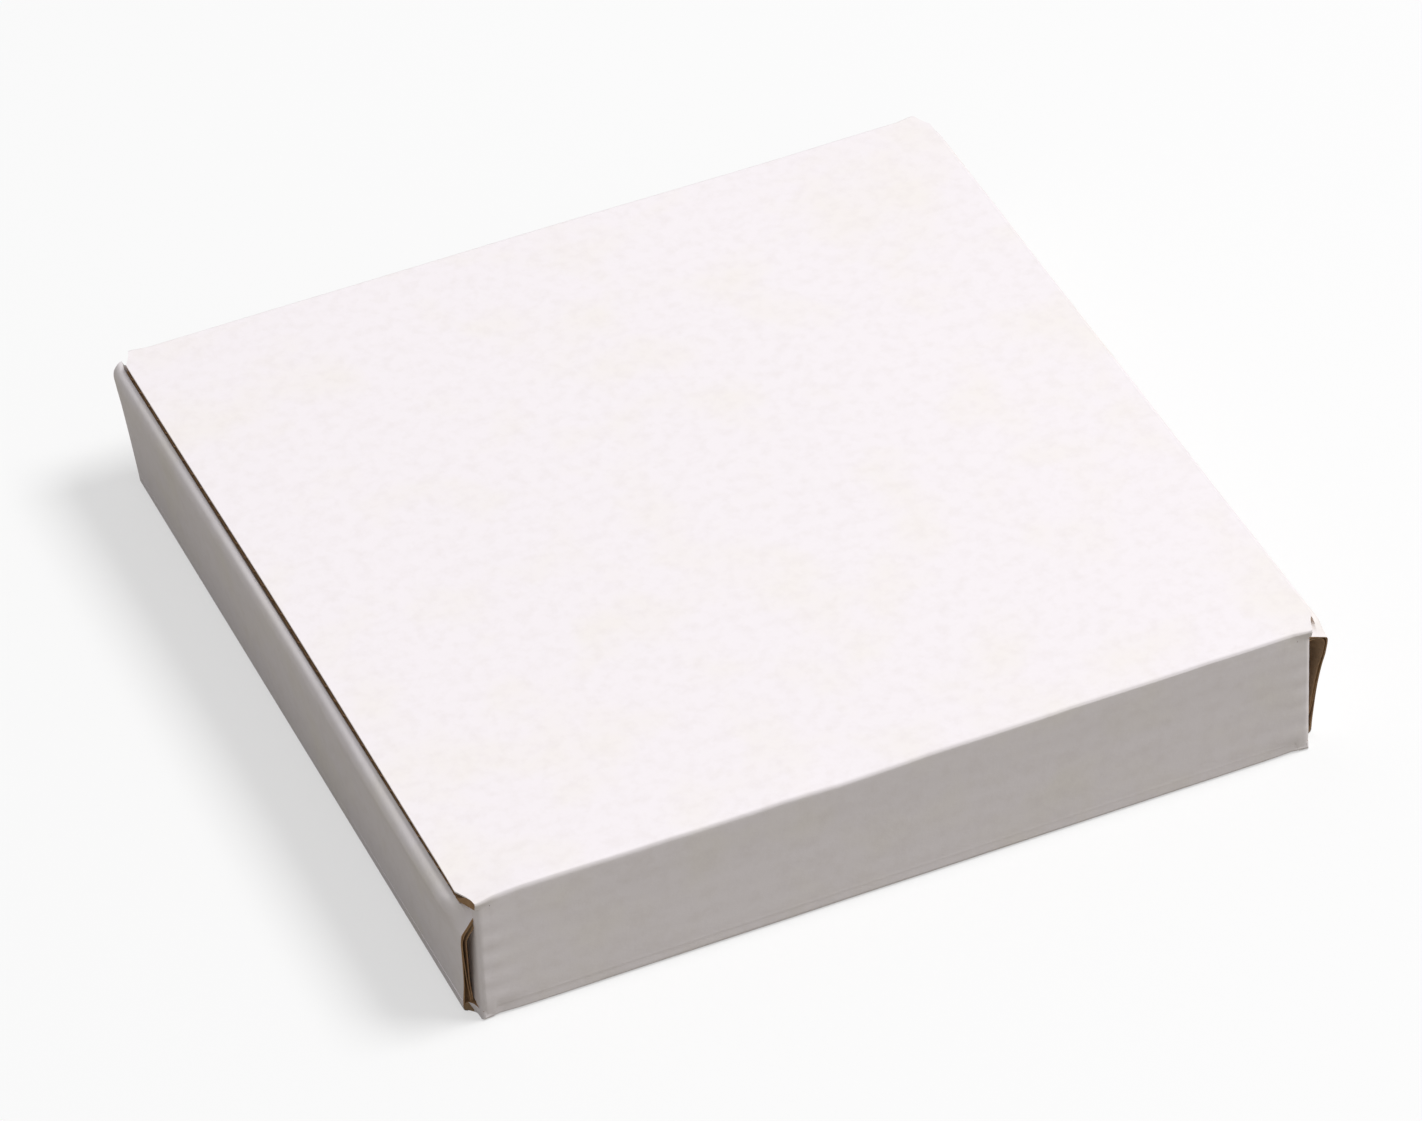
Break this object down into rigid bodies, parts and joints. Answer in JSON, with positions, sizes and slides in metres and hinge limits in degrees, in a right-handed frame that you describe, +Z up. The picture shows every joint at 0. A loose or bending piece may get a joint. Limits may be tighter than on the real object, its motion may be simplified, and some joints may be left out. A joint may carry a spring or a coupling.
{
  "type": "tuck end box",
  "caption": "Flat square straight tuck end box of white-faced E-flute board, closed, with a hinged end flap and tuck at each end of its tube.",
  "frame": {"origin": "middle of the box's footprint, on the surface that it lies on", "axes": "+X along the tube towards the right-hand end flap, +Y from the near side panel to the far side panel, +Z up"},
  "size_m": [0.1296, 0.13, 0.0222],
  "materials": {
    "white_board": "matte"
  },
  "bodies": {
    "tube": {"tube": "white_board"},
    "left_end_flap": {"left_end_flap": "white_board"},
    "right_end_flap": {"right_end_flap": "white_board"}
  },
  "joints": [
    {"name": "left_end_hinge", "type": "hinge", "parent": "tube", "child": "left_end_flap", "pos_m": [-0.06288, 0, 0.00077], "axis": [0, -1, 0], "range_deg": [0, 86.5]},
    {"name": "right_end_hinge", "type": "hinge", "parent": "tube", "child": "right_end_flap", "pos_m": [0.06288, 0, 0.00077], "axis": [0, 1, 0], "range_deg": [0, 86.5]}
  ]
}
